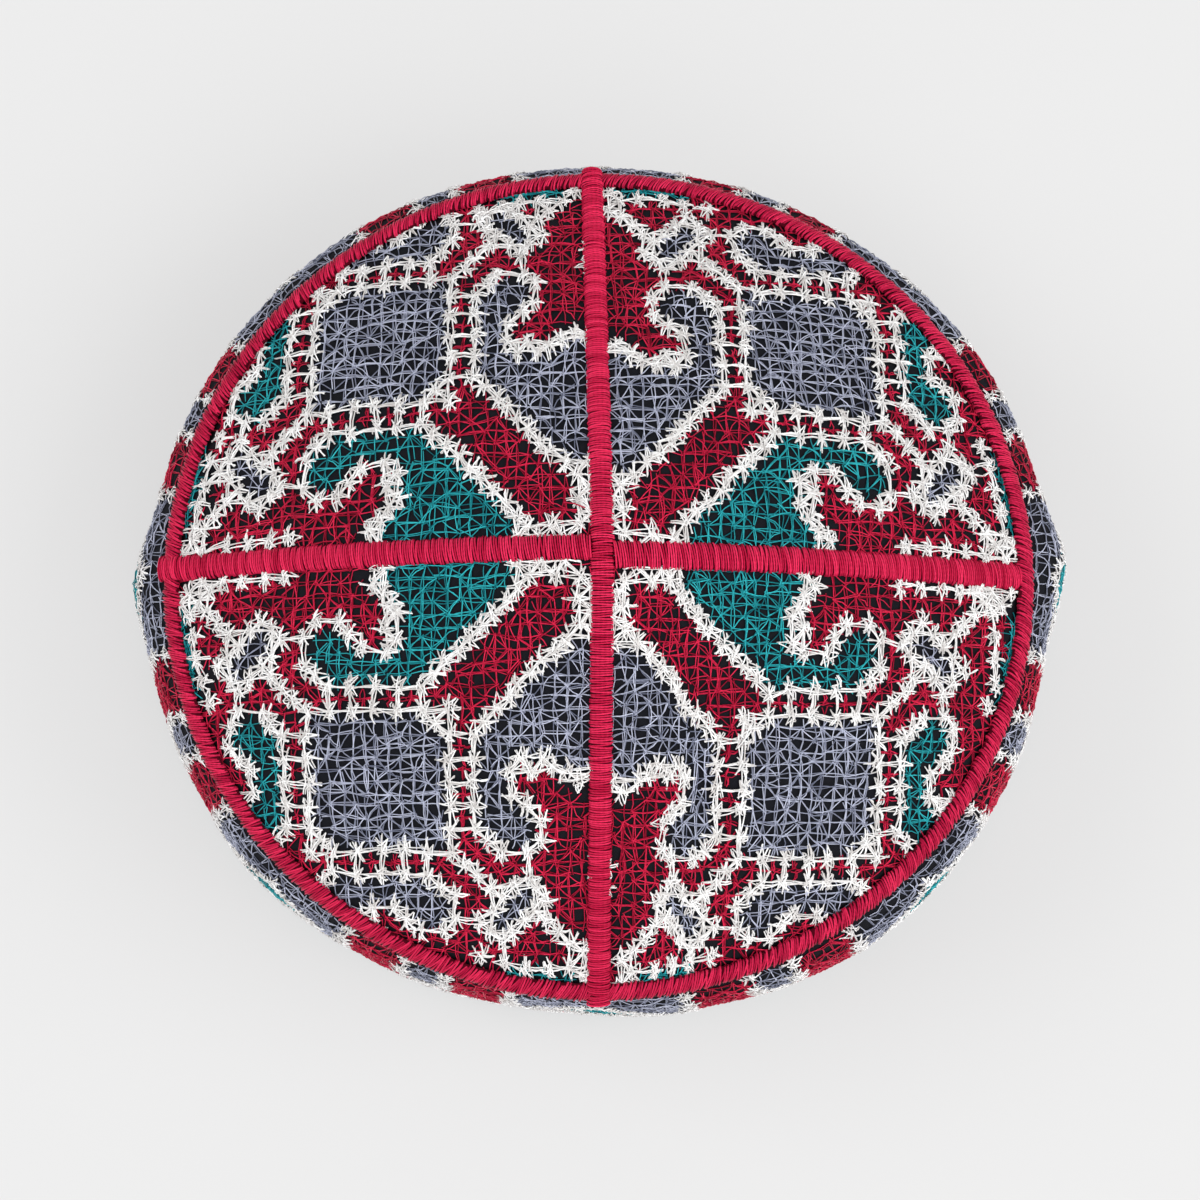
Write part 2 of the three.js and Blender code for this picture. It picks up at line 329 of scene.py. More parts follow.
# Horn stars that the hand set a little off the lattice, and where they lie
SET_OFF = {
    (19, 1): (18.3, 1.0), (20, 2): (19.1, 2.2), (19, 3): (18.3, 3.2), (18, 4): (17.6, 4.2),
    (17, 5): (17.0, 5.1), (20, 8): (20.0, 7.8), (21, 7): (21.0, 6.6), (22, 6): (22.0, 5.5),
    (24, 6): (24.0, 5.4), (25, 7): (25.0, 6.5), (27, 7): (27.0, 6.8),
}
DIAMOND = [(28.5, 6.5), (29.5, 6.5), (31.5, 8.5), (31.5, 9.5), (30.5, 9.5), (28.5, 7.5)]
SQUARE = [(13.4, 13.4), (24.6, 13.4), (24.6, 24.6), (13.4, 24.6)]
CURL = [
    (28, 15), (29.4, 13.6), (31, 13.4), (31.7, 15), (31, 16.2), (29.5, 17.4), (29.3, 20.5),
    (30.5, 21.6), (31, 22.4), (30, 23.8), (29, 24.5), (27.6, 23.4), (27.6, 16),
]

# The chart's places go on past the crown's edge, which is sought between two of them.
# A fill star needs so much room beside the stars that are drawn
CHART_REACH = 39
EDGE_SOUGHT = (33, 40)
STAR_ROOM = 0.9

# What differs between the halves: the corner at the seam's outer end, and the row of
# white stars by the crown's edge with a strip of teal behind it (distances from the
# edge, the row's straight part, and the places along both), in stitch units
SIDE_END = {
    "runs": [[(32, 6), (36, 2)], [(34, 2), (34, 2)], [(37, 3), (37, 3)], [(38, 2), (38, 2)]],
    "straight": 36,
    "row": (4, 6, 8, 10, 12),
    "strip": (4.6, 5.6, 6.6, 7.6, 8.6, 9.6, 10.6),
}
UPRIGHT_END = {
    "runs": [
        [(31, 5), (34, 2)],
        [(36, 2), (36, 2)],
        [(25.4, 0.6), (25.4, 0.6)],
        [(27.3, 0.55), (27.3, 0.55)],
    ],
    "straight": 35.2,
    "row": (3, 5, 7, 9, 11),
    "strip": (3.6, 4.6, 5.6, 6.6, 7.6, 8.6),
}
ROW_FROM_EDGE = 1.4
STRIP_FROM_EDGE = 0.4

# The white row along a side seam's outer end: its stars' step and how many
SEAM_ROW_STEP = 1.95
SEAM_ROW_STARS = 5


def stitches_of(run):
    """The chart points of the stars along a run of corners."""
    if run[0] == run[-1] and len(run) == 2:
        return [run[0]]
    stars = [run[0]]
    for (a0, b0), (a1, b1) in zip(run, run[1:]):
        long_way = max(abs(a1 - a0), abs(b1 - b0))
        diagonal = abs(a1 - a0) == abs(b1 - b0)
        count = long_way if diagonal else max(1, round(long_way / 2))
        for step in range(1, count + 1):
            stars.append((a0 + (a1 - a0) * step / count, b0 + (b1 - b0) * step / count))
    return stars


def inside(point, outline):
    """Whether a chart point lies in an outline."""
    x, y = point
    found = False
    for (x0, y0), (x1, y1) in zip(outline, outline[1:] + outline[:1]):
        if (y0 > y) != (y1 > y) and x < (x1 - x0) * (y - y0) / (y1 - y0) + x0:
            found = not found
    return found


def chart_colour(point):
    """The thread of a fill star at a chart point."""
    a, b = point
    mirrored = b > a
    if mirrored:
        a, b = b, a
    if inside((a, b), SQUARE) or inside((a, b), DIAMOND):
        return "blue_grey"
    if inside((a, b), HORN) or inside((a, b), CURL):
        return "blue_grey" if mirrored else "teal"
    return "red"


def edge_reach(quarter, other, mirrored):
    """How far out the crown's edge lies along the chart, at a place beside a seam."""
    way = np.linspace(*EDGE_SOUGHT, 141)
    chart = np.stack([way, np.full_like(way, other)], axis=-1)
    out = stitch_plan(quarter, chart[:, ::-1] if mirrored else chart)[1]
    return float(np.interp(1.0, out, way))


def crown_stars(quarter):
    """A quarter's stars by lattice place: their thread and where they lie on the chart.
    The first star that is put at a place stays there."""
    stars = {}

    def put(thread, a, b, mirrored=False, place=None):
        column, row = place or (a, b)
        if mirrored:
            a, b, column, row = b, a, row, column
        stars.setdefault((round(column), round(row)), (thread, a, b))

    for mirrored, end in ((False, SIDE_END), (True, UPRIGHT_END)):
        for run in end["runs"]:
            for a, b in stitches_of(run):
                put("white", a, b, mirrored)
        for along in end["row"]:
            out = min(end["straight"], edge_reach(quarter, along, mirrored) - ROW_FROM_EDGE)
            put("white", out, along, mirrored)
        for along in end["strip"]:
            put("teal", edge_reach(quarter, along, mirrored) - STRIP_FROM_EDGE, along, mirrored)
    first, off_seam = QUARTERS[quarter]["row"]
    for number in range(SEAM_ROW_STARS):
        put("white", first + number * SEAM_ROW_STEP, off_seam)
    for run in BORDER_RUNS:
        for place in stitches_of(run):
            for mirrored in (False, True):
                put("white", *SET_OFF.get(place, place), mirrored, place)
    taken = np.array([star[1:] for star in stars.values()])
    for a in range(1, CHART_REACH):
        for b in range(1, CHART_REACH):
            nearest = np.min(np.hypot(taken[:, 0] - a, taken[:, 1] - b))
            if (a + b) % 2 == 0 and nearest > STAR_ROOM:
                put(chart_colour((a, b)), a, b)
    return stars


AXES = [(2, 0), (0, 2), (-2, 0), (0, -2)]
DIAGONALS = [(1, 1), (-1, 1), (-1, -1), (1, -1)]

# A star with white ones at all four corners is a small full cross: how far its arms go
# and their strands. A red one with two or three white corners gets more thread
HEMMED_REACH = 0.42
HEMMED_STRANDS = 2.6
NARROW_EXTRA = 0.8

# Slanting arms that meet no other stand up more steeply than the lattice's diagonals
STEEP = (0.8, 1.2)

# How far the hand sets a star off its place, in stitch units
HAND_SCATTER = 0.1


def scattered(stars, seed):
    """Stars a little off their places, as hand work sets them."""
    chance = np.random.default_rng(seed)
    worked_at = {}
    for place, (thread, a, b) in stars.items():
        off = chance.normal(0, HAND_SCATTER, 2)
        worked_at[place] = (thread, a + off[0], b + off[1])
    return worked_at


def lay_stitches(stars, habits, seed, around=None):
    """Stitches by thread, as rows of start and end on the chart. A star reaches to its
    neighbours of the same thread, stops under a white one and short of another. A band
    that goes around is closed, and so many columns long."""
    chance = np.random.default_rng(seed)
    laid = {thread: [] for thread in THREADS}
    for place, (thread, a, b) in stars.items():
        kind = "white" if thread == "white" else "fill"
        corners = [stars.get((place[0] + da, place[1] + db), " ")[0] for da, db in DIAGONALS]
        whites = 0 if thread == "white" else corners.count("white")
        for ways, shape in ((AXES, "upright"), (DIAGONALS, "slanting")):
            arm = habits[f"{kind} {shape}"]
            for da, db in ways:
                if chance.random() > arm["share"] or (whites == 4 and da and db):
                    continue
                column = (place[0] + da) % around if around else place[0] + da
                met = stars.get((column, place[1] + db))
                if whites == 4:
                    way = np.array((da, db)) * HEMMED_REACH
                    strands = HEMMED_STRANDS
                elif met and met[0] == thread:
                    way = np.array((met[1] - a, met[2] - b))
                    if around:
                        way[0] = (way[0] + around / 2) % around - around / 2
                    strands = arm["linked"]
                else:
                    stop = arm["under_white"] if met and met[0] == "white" else arm["free"]
                    way = np.array((da, db)) * stop * (1 + arm["uneven"] * (chance.random() - 0.5))
                    if da and db:
                        way *= STEEP
                    strands = arm["strands"]
                strands += NARROW_EXTRA if thread == "red" and 2 <= whites < 4 else 0
                laid[thread].extend([(a, b, a + way[0], b + way[1])] * int(strands + chance.random()))
    return {thread: np.array(rows, float) for thread, rows in laid.items() if rows}


# How the arms of a star are worked: the share of stars that have them, their strands to
# a star of the same thread and otherwise, how far they go under a white star and with
# nothing to meet, in stitch units, and how uneven that is
ARM_COLUMNS = ("share", "linked", "strands", "under_white", "free", "uneven")
CROWN_HABITS = table(
    ARM_COLUMNS,
    {
        "white upright": (1.0, 2, 3, 0.6, 0.52, 0.5),
        "white slanting": (1.0, 2.5, 2.7, 0.6, 0.6, 0.6),
        "fill upright": (1.0, 1.25, 1, 0.8, 0.5, 0.2),
        "fill slanting": (0.7, 1, 1, 0.9, 0.8, 0.5),
    },
)
BAND_HABITS = table(
    ARM_COLUMNS,
    {
        "white upright": (1.0, 1, 2, 0.6, 0.5, 0.5),
        "white slanting": (1.0, 1, 2, 0.6, 0.6, 0.6),
        "fill upright": (1.0, 1, 1, 0.8, 0.5, 0.2),
        "fill slanting": (0.5, 1, 1, 0.9, 0.8, 0.5),
    },
)


# The side band's pattern: repeats of a pendant between small tablets. Its rows are so
# many millimetres apart, and the last stitches end at this share of the way down
BAND_REPEATS = 8
REPEAT_STITCHES = 32
BAND_ROWS_OF_STARS = 25
BAND_ROW_STEP = 2.2
LAST_STITCH_DOWN = 0.985


def band_thread(column, row):
    """The thread of the band's star at a column and row of a repeat."""
    x = abs((column + REPEAT_STITCHES // 2) % REPEAT_STITCHES - REPEAT_STITCHES // 2)
    pendant = 8 if row <= 10 else 18 - row
    tablet = abs(x - 16)
    lower = tablet + abs(row - 16)
    if row in (22, 24):
        return "white" if row == 22 else "teal"
    if row > 22:
        return "teal"
    if x == pendant or (x < pendant and x + abs(row - 7) == 5):
        return "white"
    if x < pendant:
        return "teal" if x + abs(row - 7) < 5 else "blue_grey"
    if (tablet == 2 and row <= 6) or (row + tablet == 8 and tablet < 2):
        return "white"
    if tablet < 2 and row <= 7:
        return "blue_grey"
    if lower == 4:
        return "white"
    return "teal" if lower < 4 else "red"


# Meshes from the surfaces


def linked(name, data):
    """A new object of the scene."""
    made = bpy.data.objects.new(name, data)
    bpy.context.scene.collection.objects.link(made)
    return made


def piece(name, points, edges, faces, material=None):
    """A new object at the origin from points in millimetres on the cap."""
    mesh = bpy.data.meshes.new(name)
    mesh.from_pydata([tuple(p) for p in (np.asarray(points) + CAP_MIDDLE) * MM], edges, faces)
    if material:
        mesh.materials.append(material)
    return linked(name, mesh)


def plain_mesh(thing):
    """A piece's mesh with its modifiers applied."""
    return bpy.data.meshes.new_from_object(thing.evaluated_get(bpy.context.evaluated_depsgraph_get()))


def quads(rows, columns, first=0, closed=False):
    """Faces of a grid of points, which may be closed from its last column to its first."""
    width = columns if closed else columns + 1
    faces = []
    for row in range(rows):
        for i in range(columns):
            here = first + row * width + i
            beside = first + row * width + (i + 1) % width
            faces.append((here, here + width, beside + width, beside))
    return faces


def cloth_uv(thing, flat):
    """A UV map in metres of cloth, so that the weave follows it."""
    layer = thing.data.uv_layers.new(name="UVMap")
    for loop in thing.data.loops:
        layer.data[loop.index].uv = flat[loop.vertex_index]


def thickened(thing):
    wall = thing.modifiers.new("wall", "SOLIDIFY")
    wall.thickness = CLOTH_WALL * MM
    wall.offset = -1
    mesh = plain_mesh(thing)
    thing.modifiers.clear()
    thing.data = mesh
    mesh.shade_smooth()
    return thing


def crown_cloth(quarter, start, end, material):
    """A quarter of the crown's cloth as a shell, from its corner to its edge."""
    columns, rows = 40, 40
    corner = panel_corner(quarter)
    gap_angle = math.degrees(PIECE_GAP / 2 / CROWN_HALF_DEPTH)
    angles = np.radians(np.linspace(start + gap_angle, end - gap_angle, columns + 1))
    rim = on_ellipse(angles, CROWN_HALF_WIDTH, CROWN_HALF_DEPTH)
    plan = [corner]
    for row in range(1, rows + 1):
        plan.extend(corner + (rim - corner) * row / rows)
    plan = np.array(plan)
    faces = [(0, 1 + i, 2 + i) for i in range(columns)] + quads(rows - 1, columns, first=1)
    cloth = piece("cloth_" + quarter, on_crown(quarter, plan), [], faces, material)
    cloth_uv(cloth, plan * MM)
    return thickened(cloth)


def band_cloth(material):
    """The band's cloth as a closed loop one wall thick."""
    columns, rows = 288, 30
    degrees = CREASE_ANGLES[0] + np.arange(columns) * 360 / columns
    down = np.linspace(0, 1, rows + 1)
    grid = on_band(degrees[None, :] + 0 * down[:, None], down[:, None] + 0 * degrees[None, :])
    faces = quads(rows, columns, closed=True)
    cloth = piece("cloth_side_band", grid.reshape(-1, 3), [], faces, material)
    around = np.radians(degrees) * (HEM_HALF_WIDTH + HEM_HALF_DEPTH) / 2
    flat = np.stack(np.broadcast_arrays(around[None, :], -down[:, None] * BAND_TOP), axis=-1).reshape(-1, 2)
    cloth_uv(cloth, flat * MM)
    return thickened(cloth)


# Node trees

# How far the two ends of a stitch are spread, its bow to the side, its height over the
# cloth at its start and its end, and how far it rises between them
STITCH_LENGTHS = (
    "Start spread", "Tip spread", "Bow", "Start height", "Lift", "End height", "Thread radius",
)
STITCH_SIZES = table(
    STITCH_LENGTHS,
    {
        "fill": (0.62, 0.5, 0.3, 0.12, 0.35, 0.1, FILL_THREAD / 2),
        "border": (1.0, 0.3, 0.2, 0.45, 0.4, 0.25, BORDER_THREAD / 2),
    },
)
SATIN_LENGTHS = ("Pitch", "Half width", "Height", "Thread radius")
SATIN_ANGLES = ("Arc start", "Arc sweep", "Lean", "Turn spread")

# How finely threads are cut: points along a stitch and along a satin arc, and their sides
STITCH_POINTS = 3
ARC_POINTS = 9
STITCH_SIDES = 3
SATIN_SIDES = 4


def add_node(tree, kind, feeds=(), **settings):
    """One node, with its inputs as values or links and its settings."""
    node = tree.nodes.new(kind)
    for name, value in settings.items():
        setattr(node, name, value)
    for key, value in dict(feeds).items():
        if isinstance(value, bpy.types.NodeSocket):
            tree.links.new(value, node.inputs[key])
        else:
            node.inputs[key].default_value = value
    return node


def result(tree, kind, feeds=(), **settings):
    """The first output of a new node."""
    return add_node(tree, kind, feeds, **settings).outputs[0]


def math_node(tree, operation, first, second=0.0):
    return result(tree, "ShaderNodeMath", {0: first, 1: second}, operation=operation)


def plus(tree, first, second):
    return math_node(tree, "ADD", first, second)


def minus(tree, first, second):
    return math_node(tree, "SUBTRACT", first, second)


def times(tree, first, second):
    return math_node(tree, "MULTIPLY", first, second)


def vector_node(tree, operation, first, second):
    """Vector arithmetic: SCALE takes a number second, and DOT_PRODUCT gives a number."""
    feeds = {0: first, 3 if operation == "SCALE" else 1: second}
    node = add_node(tree, "ShaderNodeVectorMath", feeds, operation=operation)
    return node.outputs[1 if operation == "DOT_PRODUCT" else 0]


def combined(tree, x, y, z=0.0):
    return result(tree, "ShaderNodeCombineXYZ", {0: x, 1: y, 2: z})


def stitch_tree(name, numbers):
    """A new tree, its inputs (geometry, named numbers, a seed and a material) and its end."""
    tree = bpy.data.node_groups.new(name, "GeometryNodeTree")
    tree.interface.new_socket("Geometry", in_out="OUTPUT", socket_type="NodeSocketGeometry")
    tree.interface.new_socket("Geometry", in_out="INPUT", socket_type="NodeSocketGeometry")
    for label in numbers:
        tree.interface.new_socket(label, in_out="INPUT", socket_type="NodeSocketFloat")
    tree.interface.new_socket("Seed", in_out="INPUT", socket_type="NodeSocketInt")
    tree.interface.new_socket("Thread", in_out="INPUT", socket_type="NodeSocketMaterial")
    return tree, tree.nodes.new("NodeGroupInput").outputs, tree.nodes.new("NodeGroupOutput")


def between(tree, low, high, seed):
    """A random number from low to high."""
    feeds = {2: low, 3: high, 8: seed}
    return add_node(tree, "FunctionNodeRandomValue", feeds, data_type="FLOAT").outputs[1]


def named(tree, label, kind="FLOAT_VECTOR"):
    return result(tree, "GeometryNodeInputNamedAttribute", {0: label}, data_type=kind)


def stored(tree, geometry, label, value, kind="FLOAT", domain="POINT"):
    feeds = {"Geometry": geometry, "Name": label, "Value": value}
    return result(tree, "GeometryNodeStoreNamedAttribute", feeds, data_type=kind, domain=domain)


def thread_mesh(tree, curves, width, sides, material):
    """Curves turned to round thread with a length-and-turn UV map."""
    run = add_node(tree, "GeometryNodeSplineParameter").outputs["Length"]
    curves = stored(tree, curves, "thread_run", run)
    feeds = {"Resolution": sides, "Radius": width}
    ring = result(tree, "GeometryNodeCurvePrimitiveCircle", feeds, mode="RADIUS")
    turn = add_node(tree, "GeometryNodeSplineParameter").outputs["Factor"]
    ring = stored(tree, ring, "thread_turn", turn)
    mesh = result(tree, "GeometryNodeCurveToMesh", {"Curve": curves, "Profile Curve": ring})
    both = combined(tree, named(tree, "thread_run", "FLOAT"), named(tree, "thread_turn", "FLOAT"))
    mesh = stored(tree, mesh, "UVMap", both, "FLOAT2", "CORNER")
    for label in ("thread_run", "thread_turn", "up", "ahead", "tip"):
        mesh = result(tree, "GeometryNodeRemoveAttribute", {"Geometry": mesh, "Name": label})
    mesh = result(tree, "GeometryNodeSetShadeSmooth", {0: mesh})
    return result(tree, "GeometryNodeSetMaterial", {"Geometry": mesh, "Material": material})


def off_along(tree, up, far, seed):
    """A random step along the cloth, up to so far."""
    feeds = {0: (-1, -1, -1), 1: (1, 1, 1), 8: seed}
    wander = result(tree, "FunctionNodeRandomValue", feeds, data_type="FLOAT_VECTOR")
    lifted = vector_node(tree, "SCALE", up, vector_node(tree, "DOT_PRODUCT", wander, up))
    return vector_node(tree, "SCALE", vector_node(tree, "SUBTRACT", wander, lifted), far)


def seed_after(tree, seed, steps):
    """A seed of its own for each number that a tree draws."""
    return plus(tree, seed, float(steps))


def moved(tree, lines, offset):
    return result(tree, "GeometryNodeSetPosition", {"Geometry": lines, "Offset": offset})


def laid_stitch_tree():
    """Round thread along laid stitches. Stitches leave their star from places a little
    apart and meet closer at the tip; each rises off the cloth between its ends."""
    tree, given, out = stitch_tree("laid_stitches", STITCH_LENGTHS)
    seed = given["Seed"]
    up = named(tree, "up")
    tip = named(tree, "tip", "FLOAT")
    lines = result(tree, "GeometryNodeMeshToCurve", {0: given[0]})
    closer = minus(tree, given["Tip spread"], given["Start spread"])
    spread = plus(tree, given["Start spread"], times(tree, tip, closer))
    lines = moved(tree, lines, off_along(tree, up, spread, seed_after(tree, seed, 3)))
    feeds = {"Curve": lines, "Count": STITCH_POINTS}
    lines = result(tree, "GeometryNodeResampleCurve", feeds, mode="COUNT")
    # A random value for each stitch, which its colour follows from deep to bright: partly the strands' own
    # uneven tone, partly painted shade and painted highlight
    lines = stored(tree, lines, "strand_tone_and_painted_light", between(tree, 0.0, 1.0, seed), "FLOAT", "CURVE")

    arch = times(tree, times(tree, tip, minus(tree, 1.0, tip)), 4.0)
    bow = times(tree, arch, given["Bow"])
    aside = off_along(tree, up, bow, seed_after(tree, seed, 4))
    lower = minus(tree, given["End height"], given["Start height"])
    height = plus(tree, given["Start height"], times(tree, tip, lower))
    rise = times(tree, given["Lift"], between(tree, 0.5, 1.5, seed_after(tree, seed, 5)))
    height = plus(tree, height, times(tree, arch, rise))
    lines = moved(tree, lines, vector_node(tree, "ADD", aside, vector_node(tree, "SCALE", up, height)))
    thick = between(tree, 0.85, 1.15, seed_after(tree, seed, 7))
    lines = result(tree, "GeometryNodeSetCurveRadius", {"Curve": lines, "Radius": thick})
    mesh = thread_mesh(tree, lines, given["Thread radius"], STITCH_SIDES, given["Thread"])
    tree.links.new(mesh, out.inputs[0])
    return tree


def satin_tree():
    """Threads laid side by side over a path whose points know which way is up."""
    tree, given, out = stitch_tree("satin_threads", SATIN_LENGTHS + SATIN_ANGLES + ("Ragged",))
    seed = given["Seed"]
    path = result(tree, "GeometryNodeMeshToCurve", {0: given[0]})
    feeds = {"Curve": path, "Length": given["Pitch"]}
    path = result(tree, "GeometryNodeResampleCurve", feeds, mode="LENGTH")
    path = stored(tree, path, "ahead", result(tree, "GeometryNodeInputTangent"), "FLOAT_VECTOR")
    stops = result(tree, "GeometryNodeCurveToPoints", {0: path}, mode="EVALUATED")
    feeds = {0: named(tree, "up"), 1: named(tree, "ahead")}
    flat = result(tree, "FunctionNodeAxesToRotation", feeds, primary_axis="Z", secondary_axis="Y")
    least = minus(tree, given["Lean"], given["Turn spread"])
    tilt = between(tree, least, plus(tree, given["Lean"], given["Turn spread"]), seed)
    spin = result(tree, "FunctionNodeAxisAngleToRotation", {"Axis": (0, 0, 1), "Angle": tilt})
    turned = result(tree, "FunctionNodeRotateRotation", {0: flat, 1: spin}, rotation_space="LOCAL")
    feeds = {"Resolution": ARC_POINTS, "Radius": 1.0}
    feeds |= {"Start Angle": given["Arc start"], "Sweep Angle": given["Arc sweep"]}
    arc = result(tree, "GeometryNodeCurveArc", feeds, mode="RADIUS")
    oval = combined(tree, given["Half width"], given["Height"], 1.0)
    feeds = {"Geometry": arc, "Rotation": (math.pi / 2, 0, 0), "Scale": oval}
    arch = result(tree, "GeometryNodeTransform", feeds)
    narrowest = minus(tree, 1.0, given["Ragged"])
    widest = plus(tree, 1.0, given["Ragged"])
    wide = between(tree, narrowest, widest, seed_after(tree, seed, 5))
    high = between(tree, 0.93, 1.1, seed_after(tree, seed, 7))
    scale = combined(tree, wide, 1.0, high)
    feeds = {"Points": stops, "Instance": arch, "Rotation": turned, "Scale": scale}
    placed = result(tree, "GeometryNodeInstanceOnPoints", feeds)
    # A random value for each satin thread, which its colour follows from deep to bright: partly uneven
    # tone, partly painted shade and painted highlight
    strand_tone_and_painted_light = between(tree, 0.0, 1.0, seed_after(tree, seed, 13))
    placed = stored(tree, placed, "strand_tone_and_painted_light", strand_tone_and_painted_light, "FLOAT", "INSTANCE")
    curves = result(tree, "GeometryNodeRealizeInstances", {0: placed})
    mesh = thread_mesh(tree, curves, given["Thread radius"], SATIN_SIDES, given["Thread"])
    tree.links.new(mesh, out.inputs[0])
    return tree


def worked(name, base, tree, sizes):
    """The plain mesh that a tree makes from a base object."""
    worker = base.modifiers.new("stitches", "NODES")
    worker.node_group = tree
    sockets = {item.name: item.identifier for item in tree.interface.items_tree if item.in_out == "INPUT"}
    for label, value in sizes.items():
        worker[sockets[label]] = value
    base.data.update()
    mesh = plain_mesh(base)
    bpy.data.objects.remove(base)
    mesh.name = name
    return linked(name, mesh)


def stitch_bed(name, points, ups, edges, tips=None):
    """Points and edges that carry what the thread laid on them needs to know."""
    bed = piece(name, points, edges, [])
    layer = bed.data.attributes.new("up", "FLOAT_VECTOR", "POINT")
    layer.data.foreach_set("vector", np.asarray(ups, np.float32).ravel())
    if tips is not None:
        layer = bed.data.attributes.new("tip", "FLOAT", "POINT")
        layer.data.foreach_set("value", np.asarray(tips, np.float32))
    return bed


# Materials


def new_material(name):
    material = bpy.data.materials.new(name)
    material.use_nodes = True
    material.node_tree.nodes.clear()
    return material


def surface_places(tree):
    """A surface's places: in the object, and the two coordinates along it."""
    place = add_node(tree, "ShaderNodeTexCoord").outputs
    parts = add_node(tree, "ShaderNodeSeparateXYZ", {0: place["UV"]}).outputs
    return place["Object"], parts[0], parts[1]


def noise(tree, place, scale, detail):
    return result(tree, "ShaderNodeTexNoise", {"Vector": place, "Scale": scale, "Detail": detail})


def colour_between(tree, share, low, high):
    feeds = {0: share, 6: linear(low), 7: linear(high)}
    return add_node(tree, "ShaderNodeMix", feeds, data_type="RGBA").outputs[2]


def bump_of(tree, height, strength, depth):
    feeds = {"Strength": strength, "Distance": depth * MM, "Height": height}
    return result(tree, "ShaderNodeBump", feeds)


def surface_of(material, looks):
    """Ends a material in a surface with these values and links."""
    tree = material.node_tree
    surface = result(tree, "ShaderNodeBsdfPrincipled", looks)
    add_node(tree, "ShaderNodeOutputMaterial", {0: surface})
    return material


def rayon_thread(name, deep, bright, roughness=0.34):
    """Twisted rayon embroidery thread, its twist a bump. Its colour goes from deep to bright by a random
    value for each strand and a noise: partly the thread's own uneven tone, partly painted shade and painted
    highlight on the strands.
    """
    material = new_material(name)
    tree = material.node_tree
    place, along, around = surface_places(tree)
    # The strand's random value mixes deep and bright: partly its own tone, partly painted shade and painted
    # highlight
    strand_tone_and_painted_light = add_node(tree, "ShaderNodeAttribute", attribute_name="strand_tone_and_painted_light").outputs["Fac"]
    blotch = noise(tree, place, scale=420.0, detail=2.0)
    mixed = plus(tree, times(tree, strand_tone_and_painted_light, 0.85), times(tree, blotch, 0.25))
    ply_length = 0.9 * MM
    run = times(tree, along, 2 * math.pi / ply_length)
    turn = times(tree, around, 4 * math.pi)
    twist = math_node(tree, "SINE", plus(tree, run, turn))
    looks = {
        "Base Color": colour_between(tree, mixed, deep, bright),
        "Roughness": roughness,
        "IOR": 1.48,
        "Specular Tint": linear(bright),
        "Normal": bump_of(tree, twist, strength=0.5, depth=0.06),
    }
    return surface_of(material, looks)


def ground_cloth(name, low, high):
    """Plain-woven cotton, near black: matt, with its warp and weft just showing."""
    material = new_material(name)
    tree = material.node_tree
    place, along, across = surface_places(tree)
    yarn = 0.62 * MM
    warp = math_node(tree, "SINE", times(tree, along, 2 * math.pi / yarn))
    weft = math_node(tree, "SINE", times(tree, across, 2 * math.pi / yarn))
    fuzz = noise(tree, place, scale=900.0, detail=3.0)
    mixed = plus(tree, times(tree, times(tree, warp, weft), 0.3), fuzz)
    looks = {
        "Base Color": colour_between(tree, mixed, low, high),
        "Roughness": 0.9,
        "IOR": 1.45,
        "Specular IOR Level": 0.2,
        "Normal": bump_of(tree, mixed, strength=0.6, depth=0.15),
    }
    return surface_of(material, looks)


def floor_paint():
    """Matt pale board lit from below, which keeps the shadows round the cap faint."""
    material = new_material("backlit_studio_board")
    looks = {
        "Base Color": linear("#808080"),
        "Roughness": 0.95,
        "Emission Color": (1, 1, 1, 1),
        "Emission Strength": 0.5,
    }
    return surface_of(material, looks)


# Camera, floor and light


def aim(thing, place, target):
    thing.location = place
    thing.rotation_mode = "QUATERNION"
    thing.rotation_quaternion = (Vector(target) - Vector(place)).to_track_quat("-Z", "Y")


# The photo is square, and so many pixels wide. In its pixels, the camera's focal length
# and how far the picture is shifted from the point that the camera looks at
PHOTO_WIDTH = 1200
FOCAL_LENGTH = 2417
SHIFT_RIGHT = 1.5
SHIFT_UP = -26.5
CAMERA_ELEVATION = 79
CAMERA_AWAY = 485.0


def photo_camera():
    """Looks down at the middle of the crown's edge, from the front side."""
    data = bpy.data.cameras.new("photo_camera")
    camera = linked("photo_camera", data)
    data.sensor_width = 36.0
    data.lens = FOCAL_LENGTH / PHOTO_WIDTH * data.sensor_width
    data.shift_x = SHIFT_RIGHT / PHOTO_WIDTH
    data.shift_y = SHIFT_UP / PHOTO_WIDTH
    elevation = math.radians(CAMERA_ELEVATION)
    target = (CAP_MIDDLE + np.array([0, 0, BAND_HEIGHT])) * MM
    back = np.array([0.0, -math.cos(elevation), math.sin(elevation)])
    aim(camera, target + CAMERA_AWAY * MM * back, target)
    bpy.context.scene.camera = camera


# The lights' places and the power of each, in metres and watts
SOFTBOXES = table(
    ("place", "power"),
    {
        "front_light": ((0.4, -1.2, 1.3), 13),
        "left_light": ((-1.3, 0.1, 1.2), 15),
        "right_light": ((1.3, -0.3, 1.2), 18),
    },
)
SOFTBOX_WIDTH = 1.2
LIT_PLACE = (0, 0, 0.06)


def softbox(name, place, power):
    data = bpy.data.lights.new(name, "AREA")
    data.shape = "SQUARE"
    data.size = SOFTBOX_WIDTH
    data.energy = power
    aim(linked(name, data), place, LIT_PLACE)


# The floor lies where the lowest stitches end, a little below the band's edge
LOWEST_THREAD = 0.2
FLOOR_HALF = 3000


def studio():
    half, low = FLOOR_HALF, -LOWEST_THREAD
    corners = [(-half, -half, low), (half, -half, low), (half, half, low), (-half, half, low)]
    floor = piece("floor", corners, [], [(0, 1, 2, 3)], floor_paint())
    world = bpy.data.worlds.new("studio_air")
    world.use_nodes = True
    background = world.node_tree.nodes["Background"].inputs
    background["Color"].default_value = (1, 1, 1, 1)
    background["Strength"].default_value = 0.74
    bpy.context.scene.world = world
    for name, row in SOFTBOXES.items():
        softbox(name, row["place"], row["power"])
    bpy.context.scene.view_settings.view_transform = "Standard"


# The cap


